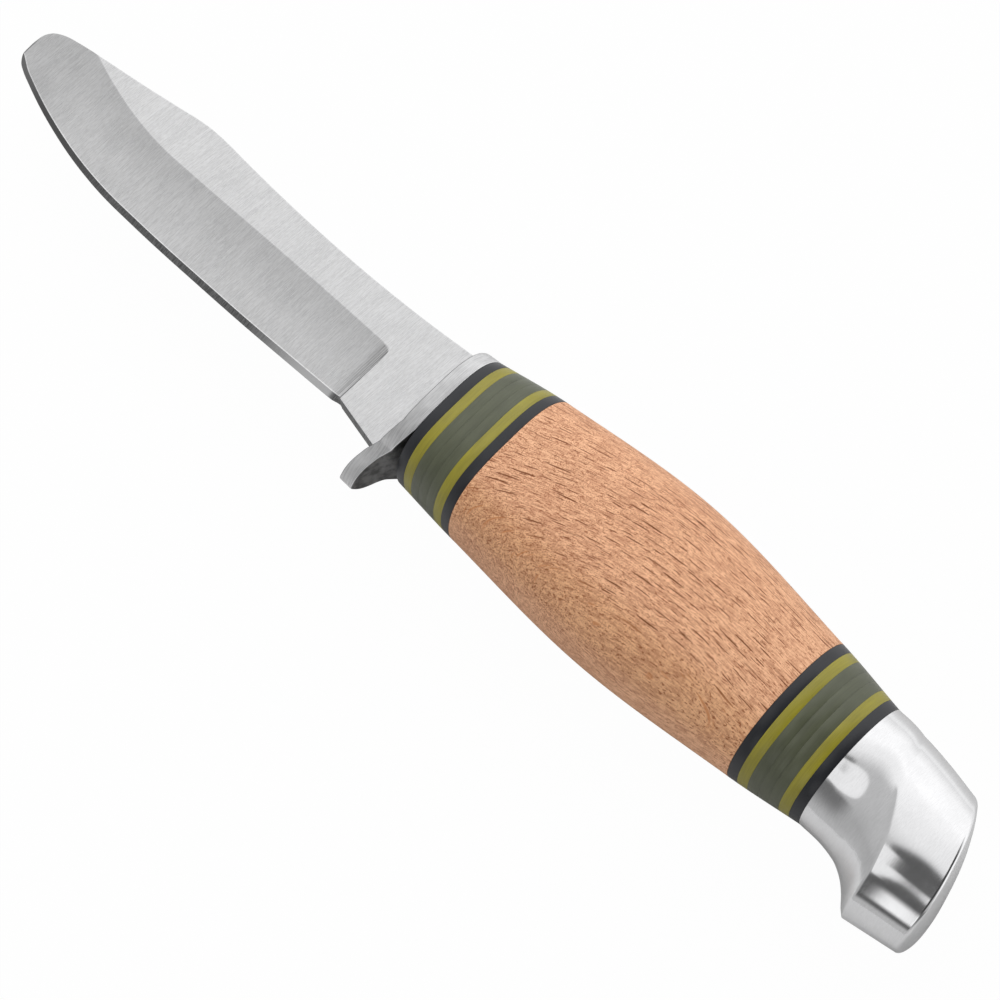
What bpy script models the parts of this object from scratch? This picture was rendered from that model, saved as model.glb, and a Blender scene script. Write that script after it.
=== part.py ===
"""Youth scout knife with a fixed, blunt-tipped blade.

The knife lies on its right side: +X runs from tip to pommel, +Y from edge to spine and +Z out of the
blade's left face. Sizes below are millimetres. x = 0 is the shoulder where the blade meets the guard.
"""

import math

import bmesh
import bpy
from mathutils import Vector

MM = 0.001

# blade
BLADE_LENGTH = 83.5
BLADE_HEIGHT = 16.5
BLADE_STOCK = 3.0
GRIND_WIDTH = 10.5
EDGE_WIDTH = 0.85
EDGE_WIDTH_TIP = 0.4
EDGE_SHOULDER = 0.72
EDGE_ANGLE = math.radians(20.0)
PLUNGE_FRACTION = 0.127
PLUNGE_RUN = 2.2
GRIND_OVERRUN = 0.5
EDGE_OVERRUN = 0.1
GRIND_CLEARANCE = 0.002
HEEL_NARROWING = 0.14

# tang
TANG_HEIGHT = 9.0
TANG_END_HEIGHT = 6.5
TANG_IN_POMMEL = 9.0
TANG_PLAY = 0.3

# stack on the tang
GUARD_THICKNESS = 2.4
SPACER_THICKNESS = 1.5
GRIP_LENGTH = 47.7
GLUE_LINE = 0.04

# handle section: half heights, height of the section centre, width to height, flatness of the sides
FRONT_HALF_HEIGHT = 10.28
FRONT_RING_HALF_HEIGHT = 11.6
BELLY_HALF_HEIGHT = 13.2
REAR_RING_HALF_HEIGHT = 10.95
SEAT_HALF_HEIGHT = 9.39
FRONT_CENTRE = -0.27
FRONT_RING_CENTRE = -0.08
BELLY_CENTRE = -0.21
REAR_RING_CENTRE = -0.92
SEAT_CENTRE = -1.24
WIDTH_RATIO = 0.755
FRONT_FLATNESS = 3.3
SEAT_FLATNESS = 2.0

# quillon below the guard
QUILLON_DROP = 5.1
QUILLON_SWEEP = 3.3
QUILLON_HALF_WIDTH = 3.4
QUILLON_FILLET = 0.9
POCKET_OVERRUN = 3.0
GUARD_TAPER = 0.1
GUARD_FRONT_ROUNDING = 0.2
GUARD_REAR_ROUNDING = 0.15

# pommel
POMMEL_LENGTH = 19.75
BEAK_DROP = 5.4
BEAK_RISE = 1.1
POMMEL_DROOP = 2.5
HEAD_HALF_WIDTH = 7.45
END_HALF_WIDTH = 6.95
NECK_HALF_WIDTH = 6.75
NECK_FLARE = 0.55
HEAD_FLATNESS = 2.5
END_BULGE = 0.0179
END_LOW = 4.0
RIDGE_AT = 0.6
RIDGE_LEAN = 0.0151
END_DOME = 0.5
END_ROUNDING = 0.45

# shares of blade length (from the shoulder) and blade height (from the tang axis)
SPINE = (
    (0.0, 0.515), (0.14, 0.482), (0.262, 0.478), (0.36, 0.493), (0.46, 0.522), (0.55, 0.559),
    (0.6, 0.583), (0.632, 0.591), (0.66, 0.586), (0.71, 0.556), (0.794, 0.507), (0.88, 0.464),
)
TIP = (
    (0.936, 0.435), (0.957, 0.421), (0.974, 0.396), (0.986, 0.36), (0.9935, 0.313), (0.9985, 0.225),
    (1.0, 0.14), (0.9965, 0.066), (0.986, 0.009), (0.969, -0.052),
)
BELLY_EDGE = (
    (0.948, -0.112), (0.9, -0.205), (0.8587, -0.268), (0.778, -0.3715), (0.702, -0.434),
    (0.608, -0.467), (0.444, -0.493), (0.338, -0.502), (0.24, -0.502), (0.165, -0.501), (0.152, -0.5),
)
HEEL = ((0.142, -0.494), (0.136, -0.481), (0.1305, -0.4715))
RICASSO_FOOT = (0.0, -0.628)

# shares of the quillon's drop below the handle against shares of its sweep and of its half width
QUILLON_BEND = (
    (-0.9, 0.0), (-0.56, 0.17), (-0.3, 0.36), (-0.11, 0.53), (0.075, 0.69), (0.26, 0.78), (0.5, 0.865), (1.0, 1.0),
)
QUILLON_NARROWING = ((0.07, 1.0), (0.26, 0.88), (0.485, 0.765), (0.69, 0.6), (0.82, 0.43), (0.92, 0.24), (1.0, 0.0))

# shares of the pommel's length against shares of its droop, and of its neck against shares of the beak's drop
POMMEL_TOP = ((0.0, 0.0), (0.3, 0.06), (0.6, 0.22), (0.8, 0.52), (1.0, 1.0))
POMMEL_FOOT = (
    (0.0, 0.0), (0.3, 0.035), (0.52, 0.135), (0.62, 0.235), (0.725, 0.39), (0.83, 0.61), (0.93, 0.865), (1.0, 1.0),
)

RING_POINTS = 48
CURVE_STEPS = 4
PLUNGE_STEPS = 6

STEEL = (0.62, 0.63, 0.64, 1.0)
ALUMINIUM = (0.78, 0.78, 0.79, 1.0)
BEECH = (0.68, 0.40, 0.23, 1.0)
BLACK = (0.025, 0.025, 0.03, 1.0)
YELLOW = (0.40, 0.36, 0.07, 1.0)
GREEN = (0.12, 0.14, 0.09, 1.0)

FRONT_STACK = ("black", "yellow", "green", "green", "green", "yellow", "black")
REAR_STACK = FRONT_STACK
COLOURS = {"black": BLACK, "yellow": YELLOW, "green": GREEN}

HANDLE_START = GUARD_THICKNESS
GRIP_START = HANDLE_START + SPACER_THICKNESS * len(FRONT_STACK)
GRIP_END = GRIP_START + GRIP_LENGTH
SEAT = GRIP_END + SPACER_THICKNESS * len(REAR_STACK)
HANDLE_BOTTOM = FRONT_CENTRE - FRONT_HALF_HEIGHT


def clear_scene():
    for obj in list(bpy.data.objects):
        bpy.data.objects.remove(obj, do_unlink=True)


def collection(name):
    group = bpy.data.collections.new(name)
    bpy.context.scene.collection.children.link(group)
    return group


def material(name, colour, metallic, roughness):
    mat = bpy.data.materials.new(name)
    mat.use_nodes = True
    shader = mat.node_tree.nodes["Principled BSDF"]
    shader.inputs["Base Color"].default_value = colour
    shader.inputs["Metallic"].default_value = metallic
    shader.inputs["Roughness"].default_value = roughness
    return mat


def smooth_value(stations, at):
    """Value at a place on a smooth curve through (place, value) stations."""
    places = [s[0] for s in stations]
    values = [s[1] for s in stations]
    at = min(max(at, places[0]), places[-1])
    i = 0
    while i < len(places) - 2 and at > places[i + 1]:
        i += 1

    def tangent(k):
        if k == 0:
            return (values[1] - values[0]) / (places[1] - places[0])
        if k == len(places) - 1:
            return (values[-1] - values[-2]) / (places[-1] - places[-2])
        return (values[k + 1] - values[k - 1]) / (places[k + 1] - places[k - 1])

    span = places[i + 1] - places[i]
    u = (at - places[i]) / span
    a = (1 + 2 * u) * (1 - u) ** 2
    b = u * (1 - u) ** 2
    c = u * u * (3 - 2 * u)
    d = u * u * (u - 1)
    return a * values[i] + b * span * tangent(i) + c * values[i + 1] + d * span * tangent(i + 1)


def smooth_path(knots, steps):
    """Points on a smooth plane curve that passes through the knots, whatever their spacing."""
    ends = [knots[0] * 2 - knots[1]] + list(knots) + [knots[-1] * 2 - knots[-2]]

    def heading(before, at, after):
        arrive = (at - before).length
        leave = (after - at).length
        return ((at - before) * (leave / arrive) + (after - at) * (arrive / leave)) / (arrive + leave)

    points = []
    for p0, p1, p2, p3 in zip(ends, ends[1:], ends[2:], ends[3:]):
        span = (p2 - p1).length
        for k in range(steps):
            u = k / steps
            start = p1 * (1 + 2 * u) + heading(p0, p1, p2) * (span * u)
            end = p2 * (3 - 2 * u) + heading(p1, p2, p3) * (span * (u - 1))
            points.append(start * (1 - u) ** 2 + end * u ** 2)
    points.append(knots[-1].copy())
    return points


def smoothstep(low, high, value):
    u = min(max((value - low) / (high - low), 0.0), 1.0)
    return u * u * (3 - 2 * u)


def mesh_object(name, bm, group, mat=None):
    bmesh.ops.recalc_face_normals(bm, faces=bm.faces)
    mesh = bpy.data.meshes.new(name)
    bm.to_mesh(mesh)
    bm.free()
    obj = bpy.data.objects.new(name, mesh)
    group.objects.link(obj)
    if mat:
        mesh.materials.append(mat)
    else:
        obj.hide_render = True
        obj.display_type = "WIRE"
    return obj


def loft(name, rings, group, mat=None, bridged=False):
    """Closed skin over rings of equally many points. Bridged ends join the left and right of curved rings."""
    bm = bmesh.new()
    rows = [[bm.verts.new(Vector(p) * MM) for p in ring] for ring in rings]
    count = len(rows[0])
    half = count // 2
    for row, after in zip(rows, rows[1:]):
        for i in range(count):
            j = (i + 1) % count
            bm.faces.new((row[i], row[j], after[j], after[i]))
    for row in (rows[0], rows[-1]):
        if not bridged:
            bm.faces.new(row)
            continue
        bm.faces.new((row[0], row[1], row[-1]))
        for i in range(1, half - 1):
            bm.faces.new((row[i], row[i + 1], row[count - i - 1], row[count - i]))
        bm.faces.new((row[half - 1], row[half], row[half + 1]))
    return mesh_object(name, bm, group, mat)


def box(name, low, high, group):
    bm = bmesh.new()
    bmesh.ops.create_cube(bm, size=1.0)
    for vert in bm.verts:
        for k in range(3):
            vert.co[k] = (low[k] if vert.co[k] < 0 else high[k]) * MM
    return mesh_object(name, bm, group)


def boolean(obj, cutter, operation="DIFFERENCE"):
    mod = obj.modifiers.new(f"{operation.lower()}_{cutter.name}", "BOOLEAN")
    mod.operation = operation
    mod.solver = "EXACT"
    mod.object = cutter


def handle_section(x):
    """Half height, centre, half width and side flatness of the ground handle at x."""
    share = (x - HANDLE_START) / (SEAT - HANDLE_START)
    front_ring = (GRIP_START - HANDLE_START) / (SEAT - HANDLE_START)
    rear_ring = (GRIP_END - HANDLE_START) / (SEAT - HANDLE_START)
    places = (0.0, front_ring, 0.5 * (front_ring + rear_ring), rear_ring, 1.0)
    halves = (
        FRONT_HALF_HEIGHT, FRONT_RING_HALF_HEIGHT, BELLY_HALF_HEIGHT, REAR_RING_HALF_HEIGHT, SEAT_HALF_HEIGHT,
    )
    centres = (FRONT_CENTRE, FRONT_RING_CENTRE, BELLY_CENTRE, REAR_RING_CENTRE, SEAT_CENTRE)
    half = smooth_value(tuple(zip(places, halves)), share)
    centre = smooth_value(tuple(zip(places, centres)), share)
    flatness = FRONT_FLATNESS + (SEAT_FLATNESS - FRONT_FLATNESS) * min(max(share, 0.0), 1.0)
    return half, centre, half * WIDTH_RATIO, flatness


def oval(half, centre, half_width, flatness):
    """Ring of (y, z) with flattened sides. It starts at the top and goes round by the left side."""
    points = []
    for i in range(RING_POINTS):
        angle = 2 * math.pi * i / RING_POINTS
        c = math.cos(angle)
        s = math.sin(angle)
        y = centre + half * math.copysign(abs(c) ** (2 / flatness), c)
        points.append((y, half_width * s))
    return points


def handle_ring(x):
    return [(x, y, z) for y, z in oval(*handle_section(x))]


def blade_point(share):
    return Vector((-share[0] * BLADE_LENGTH, share[1] * BLADE_HEIGHT))


def blade_outline():
    skyline = smooth_path([blade_point(p) for p in SPINE + TIP + BELLY_EDGE + HEEL], CURVE_STEPS)
    tang_end = SEAT + TANG_IN_POMMEL
    tang = [
        blade_point(RICASSO_FOOT),
        Vector((0.0, -TANG_HEIGHT / 2)),
        Vector((tang_end, -TANG_END_HEIGHT / 2)),
        Vector((tang_end, TANG_END_HEIGHT / 2)),
        Vector((0.0, TANG_HEIGHT / 2)),
    ]
    return skyline + tang


def blade_blank(group, mat):
    """Plate of blade stock cut to the outline, tang included."""
    curve = bpy.data.curves.new("blade_outline", "CURVE")
    curve.dimensions = "2D"
    curve.fill_mode = "BOTH"
    curve.extrude = BLADE_STOCK / 2 * MM
    points = blade_outline()
    spline = curve.splines.new("POLY")
    spline.points.add(len(points) - 1)
    spline.use_cyclic_u = True
    for point, at in zip(spline.points, points):
        point.co = (at.x * MM, at.y * MM, 0.0, 1.0)
    outline = bpy.data.objects.new("blade_outline", curve)
    group.objects.link(outline)
    mesh = bpy.data.meshes.new_from_object(outline)
    bpy.data.objects.remove(outline, do_unlink=True)
    bm = bmesh.new()
    bm.from_mesh(mesh)
    bpy.data.meshes.remove(mesh)
    bmesh.ops.remove_doubles(bm, verts=bm.verts, dist=0.001 * MM)
    return mesh_object("blade", bm, group, mat)


def edge_path():
    """Points along the cutting edge from the plunge to past the tip, each with its inward direction."""
    heel = Vector((-PLUNGE_FRACTION * BLADE_LENGTH, BELLY_EDGE[-1][1] * BLADE_HEIGHT))
    start = heel - Vector((PLUNGE_RUN, 0.0))
    points = [start + Vector((PLUNGE_RUN * (1.0 - k / PLUNGE_STEPS), 0.0)) for k in range(PLUNGE_STEPS)]
    knots = TIP[-2:] + BELLY_EDGE[:-2]
    points += smooth_path([start] + [blade_point(p) for p in reversed(knots)], CURVE_STEPS)
    points.append(points[-1] + (points[-1] - points[-2]).normalized() * GRIND_WIDTH)
    belly_end = blade_point(BELLY_EDGE[0]).x
    path = []
    for i, point in enumerate(points):
        along = (points[min(i + 1, len(points) - 1)] - points[max(i - 1, 0)]).normalized()
        inward = Vector((along.y, -along.x)) if point.x > belly_end else path[-1][1]
        path.append((point, inward))
    return path, heel.x


def grind_cutter(name, path, ground_faces, group):
    """Wedge swept along the edge. ground_faces gives (distance, height) corners of the ground faces."""
    rings = []
    top = BLADE_STOCK
    for point, inward in path:
        corners = ground_faces(point)
        corners = corners + [(corners[-1][0], top), (corners[0][0], top)]
        ring = []
        for d, z in corners:
            at = point + inward * d
            ring.append((at.x, at.y, z))
        rings.append(ring)
    cutter = loft(name, rings, group)
    mirror = cutter.modifiers.new("both_sides", "MIRROR")
    mirror.use_axis = (False, False, True)
    mirror.use_mirror_merge = False
    return cutter


def build_blade(parts, cutters, mat):
    blade = blade_blank(parts, mat)
    path, plunge = edge_path()
    half_stock = BLADE_STOCK / 2
    slope = (half_stock - EDGE_SHOULDER / 2) / (GRIND_WIDTH - EDGE_WIDTH)
    rise = math.tan(EDGE_ANGLE)

    def ground_faces(point):
        run = min(max((plunge - point.x) / PLUNGE_RUN, 0.0), 1.0)
        depth = math.sqrt(1.0 - (1.0 - run) ** 2)
        share = smoothstep(0.6 * BLADE_LENGTH, 0.95 * BLADE_LENGTH, -point.x)
        edge = EDGE_WIDTH + (EDGE_WIDTH_TIP - EDGE_WIDTH) * share
        width = GRIND_WIDTH * (1.0 - HEEL_NARROWING * (1.0 - depth))
        shoulder = half_stock - (half_stock - EDGE_SHOULDER / 2 + slope * (EDGE_WIDTH - edge)) * depth
        foot = shoulder - (edge + EDGE_OVERRUN) * rise * depth
        beyond = half_stock + GRIND_OVERRUN * (half_stock - shoulder) / (width - edge)
        corners = ((-EDGE_OVERRUN, foot), (edge, shoulder), (width + GRIND_OVERRUN, beyond))
        return [(d, z + GRIND_CLEARANCE) for d, z in corners]

    boolean(blade, grind_cutter("grind", path, ground_faces, cutters))
    return blade


def guard_outline():
    """Ring of (y, z) round the oval plate and the tongue of the quillon, from the top by the left side."""
    half, centre, half_width, flatness = handle_section(HANDLE_START)
    root = QUILLON_HALF_WIDTH + QUILLON_FILLET
    plate = oval(half, centre, half_width, flatness)[: RING_POINTS // 2]
    side = [p for p in plate if p[0] > centre or p[1] > root]
    for drop, share in QUILLON_NARROWING:
        side.append((HANDLE_BOTTOM - drop * QUILLON_DROP, share * QUILLON_HALF_WIDTH))
    return side + [(y, -z) for y, z in reversed(side[1:-1])]


def inset_ring(ring, distance):
    """The ring moved inwards by a distance."""
    moved = []
    for i, (y, z) in enumerate(ring):
        before = ring[i - 1]
        after = ring[(i + 1) % len(ring)]
        along = Vector((after[0] - before[0], after[1] - before[1])).normalized()
        moved.append((y - along.y * distance, z + along.x * distance))
    return moved


def guard_faces(y):
    """Places of the front and rear face of the guard at height y: the quillon is bent forward."""
    gap = GLUE_LINE / 2
    sweep = QUILLON_SWEEP * smooth_value(QUILLON_BEND, (HANDLE_BOTTOM - y) / QUILLON_DROP)
    return gap - sweep, GUARD_THICKNESS - gap - sweep


def build_guard(parts, cutters, mat):
    outline = guard_outline()
    front_round = GUARD_FRONT_ROUNDING
    rear_round = GUARD_REAR_ROUNDING
    layers = (
        (0.0, GUARD_TAPER + front_round),
        (0.3 * front_round, GUARD_TAPER + 0.3 * front_round),
        (front_round, GUARD_TAPER),
        (GUARD_THICKNESS - rear_round, 0.0),
        (GUARD_THICKNESS - 0.3 * rear_round, 0.3 * rear_round),
        (GUARD_THICKNESS, rear_round),
    )
    rings = []
    for depth, inset in layers:
        ring = []
        for y, z in inset_ring(outline, inset):
            front, rear = guard_faces(y)
            ring.append((front + (rear - front) * depth / GUARD_THICKNESS, y, z))
        rings.append(ring)
    guard = loft("guard", rings, parts, mat, bridged=True)
    low = (-QUILLON_SWEEP - POCKET_OVERRUN, RICASSO_FOOT[1] * BLADE_HEIGHT - TANG_PLAY, -BLADE_STOCK / 2 - TANG_PLAY / 2)
    high = (GLUE_LINE / 4, BLADE_HEIGHT, BLADE_STOCK / 2 + TANG_PLAY / 2)
    boolean(guard, box("ricasso_pocket", low, high, cutters))
    return guard


def pommel_end(y):
    """Place of the pommel's end face along the knife at height y."""
    half, centre, half_width, flatness = handle_section(SEAT)
    beak = centre - half - BEAK_DROP
    return POMMEL_LENGTH - END_DOME - END_BULGE * (y - beak - END_LOW) ** 2


def pommel_ring(share):
    """Section of the pommel: 0 is the seat on the handle, RIDGE_AT the front rim of the head, 1 the end."""
    half, centre, half_width, flatness = handle_section(SEAT)
    seat_top = centre + half
    seat_foot = centre - half
    beak = seat_foot - BEAK_DROP
    top = seat_top - POMMEL_DROOP * smooth_value(POMMEL_TOP, share)
    neck = share / RIDGE_AT
    if neck < 1.0:
        foot = seat_foot - BEAK_DROP * smooth_value(POMMEL_FOOT, neck)
    else:
        foot = beak + BEAK_RISE * (share - RIDGE_AT) / (1.0 - RIDGE_AT)
    upper = smooth_value(((0.0, half_width), (RIDGE_AT, HEAD_HALF_WIDTH), (1.0, END_HALF_WIDTH)), share)
    waist = smooth_value(
        ((0.0, half_width), (0.25, 0.35 * half_width + 0.65 * NECK_HALF_WIDTH), (0.5, NECK_HALF_WIDTH),
         (0.75, 0.8 * NECK_HALF_WIDTH + 0.2 * HEAD_HALF_WIDTH),
         (0.92, NECK_HALF_WIDTH + NECK_FLARE * (HEAD_HALF_WIDTH - NECK_HALF_WIDTH)), (1.0, HEAD_HALF_WIDTH)),
        min(neck, 1.0),
    )
    if neck >= 1.0:
        waist = upper
    shape = flatness + (HEAD_FLATNESS - flatness) * smoothstep(0.1, RIDGE_AT, share)
    ring = []
    for y, z in oval((top - foot) / 2, (top + foot) / 2, 1.0, shape):
        width = upper + (waist - upper) * smoothstep(0.35 * half, -0.55 * half, y)
        lift = min(max(y - beak, 0.0), 1.55 * half)
        lean = RIDGE_LEAN * lift ** 2 * min(neck, (1.0 - share) / (1.0 - RIDGE_AT))
        ring.append((SEAT + GLUE_LINE / 2 + share * pommel_end(y) - lean, y, z * width))
    return ring


def build_pommel(parts, mat):
    shares = [0.0, 0.07, 0.14, 0.21, 0.27, 0.33, 0.38, 0.43, 0.47, 0.51, 0.545, 0.575, RIDGE_AT, 0.64, 0.7, 0.78]
    shares += [0.86, 0.93, 1.0 - END_ROUNDING / POMMEL_LENGTH]
    rings = [pommel_ring(s) for s in shares]
    rim = rings[-1]
    middle = sum(p[1] for p in rim) / len(rim)
    half_end = (rim[0][1] - rim[RING_POINTS // 2][1]) / 2
    for inset in (END_ROUNDING, 0.12 * half_end, 0.3 * half_end, 0.55 * half_end):
        scale = 1.0 - inset / half_end
        ring = []
        for x, y, z in rim:
            near = middle + (y - middle) * scale
            ring.append((SEAT + GLUE_LINE / 2 + pommel_end(near) + END_DOME * (1 - scale ** 2), near, z * scale))
        rings.append(ring)
    return loft("pommel", rings, parts, mat, bridged=True)


def tang_room(cutters):
    """Slot that the tang passes through, with play all round."""
    start = -1.0
    end = SEAT + TANG_IN_POMMEL + TANG_PLAY
    half = BLADE_STOCK / 2 + TANG_PLAY
    rings = []
    for x, height in ((start, TANG_HEIGHT), (end, TANG_END_HEIGHT)):
        h = height / 2 + TANG_PLAY
        rings.append([(x, -h, -half), (x, h, -half), (x, h, half), (x, -h, half)])
    return loft("tang_room", rings, cutters)


def shade(obj, angle):
    obj.data.shade_smooth()
    obj.data.set_sharp_from_angle(angle=math.radians(angle))


def rest_on_table(objects):
    """Moves the knife so that the middle of the underside of its box is the origin."""
    bpy.context.view_layer.update()
    graph = bpy.context.evaluated_depsgraph_get()
    corners = []
    for obj in objects:
        shaped = obj.evaluated_get(graph)
        corners += [shaped.matrix_world @ vert.co for vert in shaped.data.vertices]
    low = [min(c[k] for c in corners) for k in range(3)]
    high = [max(c[k] for c in corners) for k in range(3)]
    shift = Vector((-(low[0] + high[0]) / 2, -(low[1] + high[1]) / 2, -low[2]))
    for obj in list(bpy.data.objects):
        obj.location += shift


def main():
    clear_scene()
    parts = collection("knife")
    cutters = collection("cutters")
    steel = material("satin_steel", STEEL, 1.0, 0.35)
    bright = material("polished_aluminium", ALUMINIUM, 1.0, 0.15)
    beech = material("beech", BEECH, 0.0, 0.55)
    fibre = {key: material(f"{key}_fibre", value, 0.0, 0.4) for key, value in COLOURS.items()}

    pieces = [build_blade(parts, cutters, steel), build_guard(parts, cutters, bright)]
    gap = GLUE_LINE / 2
    for side, stack, start in (("front", FRONT_STACK, HANDLE_START), ("rear", REAR_STACK, GRIP_END)):
        for i, key in enumerate(stack):
            x = start + i * SPACER_THICKNESS
            rings = [handle_ring(x + gap), handle_ring(x + SPACER_THICKNESS - gap)]
            pieces.append(loft(f"spacer_{side}_{i + 1}_{key}", rings, parts, fibre[key]))
    stations = 14
    span = GRIP_LENGTH - GLUE_LINE
    rings = [handle_ring(GRIP_START + gap + span * k / stations) for k in range(stations + 1)]
    pieces.append(loft("grip", rings, parts, beech))
    pieces.append(build_pommel(parts, bright))

    room = tang_room(cutters)
    for piece in pieces[1:]:
        boolean(piece, room)
    for piece in pieces:
        shade(piece, 30)
    rest_on_table(pieces)


main()
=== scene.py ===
"""Fixed-blade scout knife in satin steel, beech, fibre discs and aluminium, lying on a pale table.

Shapes are in millimetres in the knife's own axes: x runs from the blade's shoulder to the pommel, y from the
cutting edge to the spine and z out of the left face. KNIFE_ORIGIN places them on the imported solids.
"""

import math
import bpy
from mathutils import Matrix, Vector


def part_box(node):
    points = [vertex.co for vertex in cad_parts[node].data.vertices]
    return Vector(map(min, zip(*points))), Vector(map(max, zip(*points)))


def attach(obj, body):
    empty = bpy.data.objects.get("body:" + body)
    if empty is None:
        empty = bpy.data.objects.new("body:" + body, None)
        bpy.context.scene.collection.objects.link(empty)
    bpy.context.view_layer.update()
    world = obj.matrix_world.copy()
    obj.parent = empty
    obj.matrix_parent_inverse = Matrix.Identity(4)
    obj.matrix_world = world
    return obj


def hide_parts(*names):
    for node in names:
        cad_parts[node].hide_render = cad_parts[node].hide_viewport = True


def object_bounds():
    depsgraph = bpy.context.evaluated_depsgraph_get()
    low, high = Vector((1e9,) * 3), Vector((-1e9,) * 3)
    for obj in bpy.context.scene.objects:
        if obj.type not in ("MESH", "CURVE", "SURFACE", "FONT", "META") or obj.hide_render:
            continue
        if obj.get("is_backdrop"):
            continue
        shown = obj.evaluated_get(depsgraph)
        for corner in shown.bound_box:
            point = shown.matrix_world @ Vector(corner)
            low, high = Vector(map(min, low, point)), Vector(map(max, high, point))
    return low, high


bl_info = {
    "name": "Scout Knife",
    "version": (1, 0, 0),
    "blender": (4, 5, 0),
    "location": "View3D > Sidebar > Knife",
    "description": "Finishes a fixed-blade scout knife and sets it on a studio table",
    "category": "Object",
}

import bmesh
import bpy
from bpy.props import FloatProperty, FloatVectorProperty, PointerProperty
from bpy.types import Operator, Panel, PropertyGroup
from mathutils import Matrix, Vector

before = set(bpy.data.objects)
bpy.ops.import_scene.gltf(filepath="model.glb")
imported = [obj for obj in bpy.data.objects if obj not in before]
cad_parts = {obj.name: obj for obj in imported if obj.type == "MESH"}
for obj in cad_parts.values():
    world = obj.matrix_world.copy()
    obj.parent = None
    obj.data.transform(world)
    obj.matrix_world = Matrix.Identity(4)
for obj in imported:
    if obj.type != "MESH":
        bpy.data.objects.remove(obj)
CAD_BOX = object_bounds()

MM = 0.001
TINY = 1e-6
BODY = "root"

# blade outline: shares of blade length from the shoulder and of blade height from the tang's axis
BLADE_LENGTH = 83.5
BLADE_HEIGHT = 16.5
BLADE_STOCK = 3.0
SPINE = (
    (0.0, 0.515), (0.14, 0.482), (0.262, 0.478), (0.36, 0.493), (0.46, 0.522), (0.55, 0.559),
    (0.6, 0.583), (0.632, 0.591), (0.66, 0.586), (0.71, 0.556), (0.794, 0.507), (0.88, 0.464),
)
TIP = (
    (0.936, 0.435), (0.957, 0.421), (0.974, 0.396), (0.987, 0.36), (0.9947, 0.313), (0.9992, 0.225),
    (1.0, 0.14), (0.9983, 0.06), (0.9893, -0.004), (0.9715, -0.058),
)
BELLY_EDGE = (
    (0.948, -0.108), (0.9, -0.2), (0.8587, -0.267), (0.778, -0.3715), (0.702, -0.434),
    (0.608, -0.467), (0.444, -0.493), (0.338, -0.502), (0.24, -0.502), (0.165, -0.501), (0.152, -0.5),
)
HEEL = ((0.142, -0.494), (0.136, -0.481), (0.1305, -0.4715))
RICASSO_FOOT = (0.0, -0.628)

# sharpening bevel: the steel's thickness above it, its angle, where it narrows, and the tip's points on it
EDGE_SHOULDER = 0.72
EDGE_ANGLE = math.radians(20.0)
EDGE_NARROWS = (0.6 * BLADE_LENGTH, 0.95 * BLADE_LENGTH)
EDGE_ON_TIP = 2

# grind: its plunge, burnished foot and hollow, and shares of blade length against shares of its width
PLUNGE_FRACTION = 0.127
PLUNGE_RUN = 2.2
POINTS_IN_PLUNGE = 2
BURNISH_WIDTH = 0.14
BURNISH_SLOPE = 0.09
GRIND_HOLLOW = 0.05
HEEL_NARROWING = 0.035
GRIND_WIDTHS = ((0.13, 0.972), (0.32, 1.024), (0.53, 1.024), (0.7, 1.0), (1.0, 1.0))

# tang and the slots that it fills
TANG_HEIGHT = 9.0
TANG_END_HEIGHT = 6.5
TANG_IN_POMMEL = 9.0
TANG_START = -1.0
TANG_PLAY = 0.3
GUARD_PLAY = 0.05
RICASSO_PLAY = 0.075

# stack of pieces on the tang
GUARD_THICKNESS = 2.4
SPACER_THICKNESS = 1.5
GRIP_LENGTH = 47.7
GLUE_LINE = 0.04
SANDING = 0.012
JOINT = 0.002
STACK = ("black", "yellow", "green", "green", "green", "yellow", "black")
HANDLE_START = GUARD_THICKNESS
GRIP_START = HANDLE_START + SPACER_THICKNESS * len(STACK)
GRIP_END = GRIP_START + GRIP_LENGTH
SEAT = GRIP_END + SPACER_THICKNESS * len(STACK)

# handle sections at the guard, the front ring, the belly, the rear ring and the pommel's seat
HALF_HEIGHTS = (10.28, 11.6, 13.2, 10.95, 9.39)
CENTRES = (-0.27, -0.08, -0.21, -0.92, -1.24)
WIDTH_RATIO = 0.755
FRONT_FLATNESS = 3.3
SEAT_FLATNESS = 2.0
HANDLE_BOTTOM = CENTRES[0] - HALF_HEIGHTS[0]

# quillon: shares of its drop below the handle against shares of its sweep and of its half width
QUILLON_DROP = 5.1
QUILLON_SWEEP = 3.3
QUILLON_HALF_WIDTH = 3.4
QUILLON_FILLET = 0.9
QUILLON_BEND = (
    (-0.9, 0.0), (-0.56, 0.17), (-0.3, 0.36), (-0.11, 0.53),
    (0.075, 0.69), (0.26, 0.78), (0.5, 0.865), (1.0, 1.0),
)
QUILLON_NARROWING = (
    (0.07, 1.0), (0.26, 0.88), (0.485, 0.765), (0.69, 0.6), (0.82, 0.43), (0.92, 0.24), (1.0, 0.0),
)
GUARD_TAPER = 0.1
GUARD_FRONT_ROUNDING = 0.3
GUARD_REAR_ROUNDING = 0.15

# pommel
POMMEL_LENGTH = 19.75
BEAK_DROP = 5.4
BEAK_RISE = 1.1
POMMEL_DROOP = 2.5
HEAD_HALF_WIDTH = 7.45
END_HALF_WIDTH = 6.75
NECK_HALF_WIDTH = 6.75
HEAD_FLATNESS = 2.5
HEAD_FLATTENS_AT = 0.1
END_LOW = 4.0
END_DOME = 0.5
END_RISE = 0.4
END_ROUNDING = 0.45
END_COVERED = 0.9
RIDGE_AT = 0.6
RIDGE_LEAN = 0.0151
RIDGE_REACH = 1.55
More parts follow.
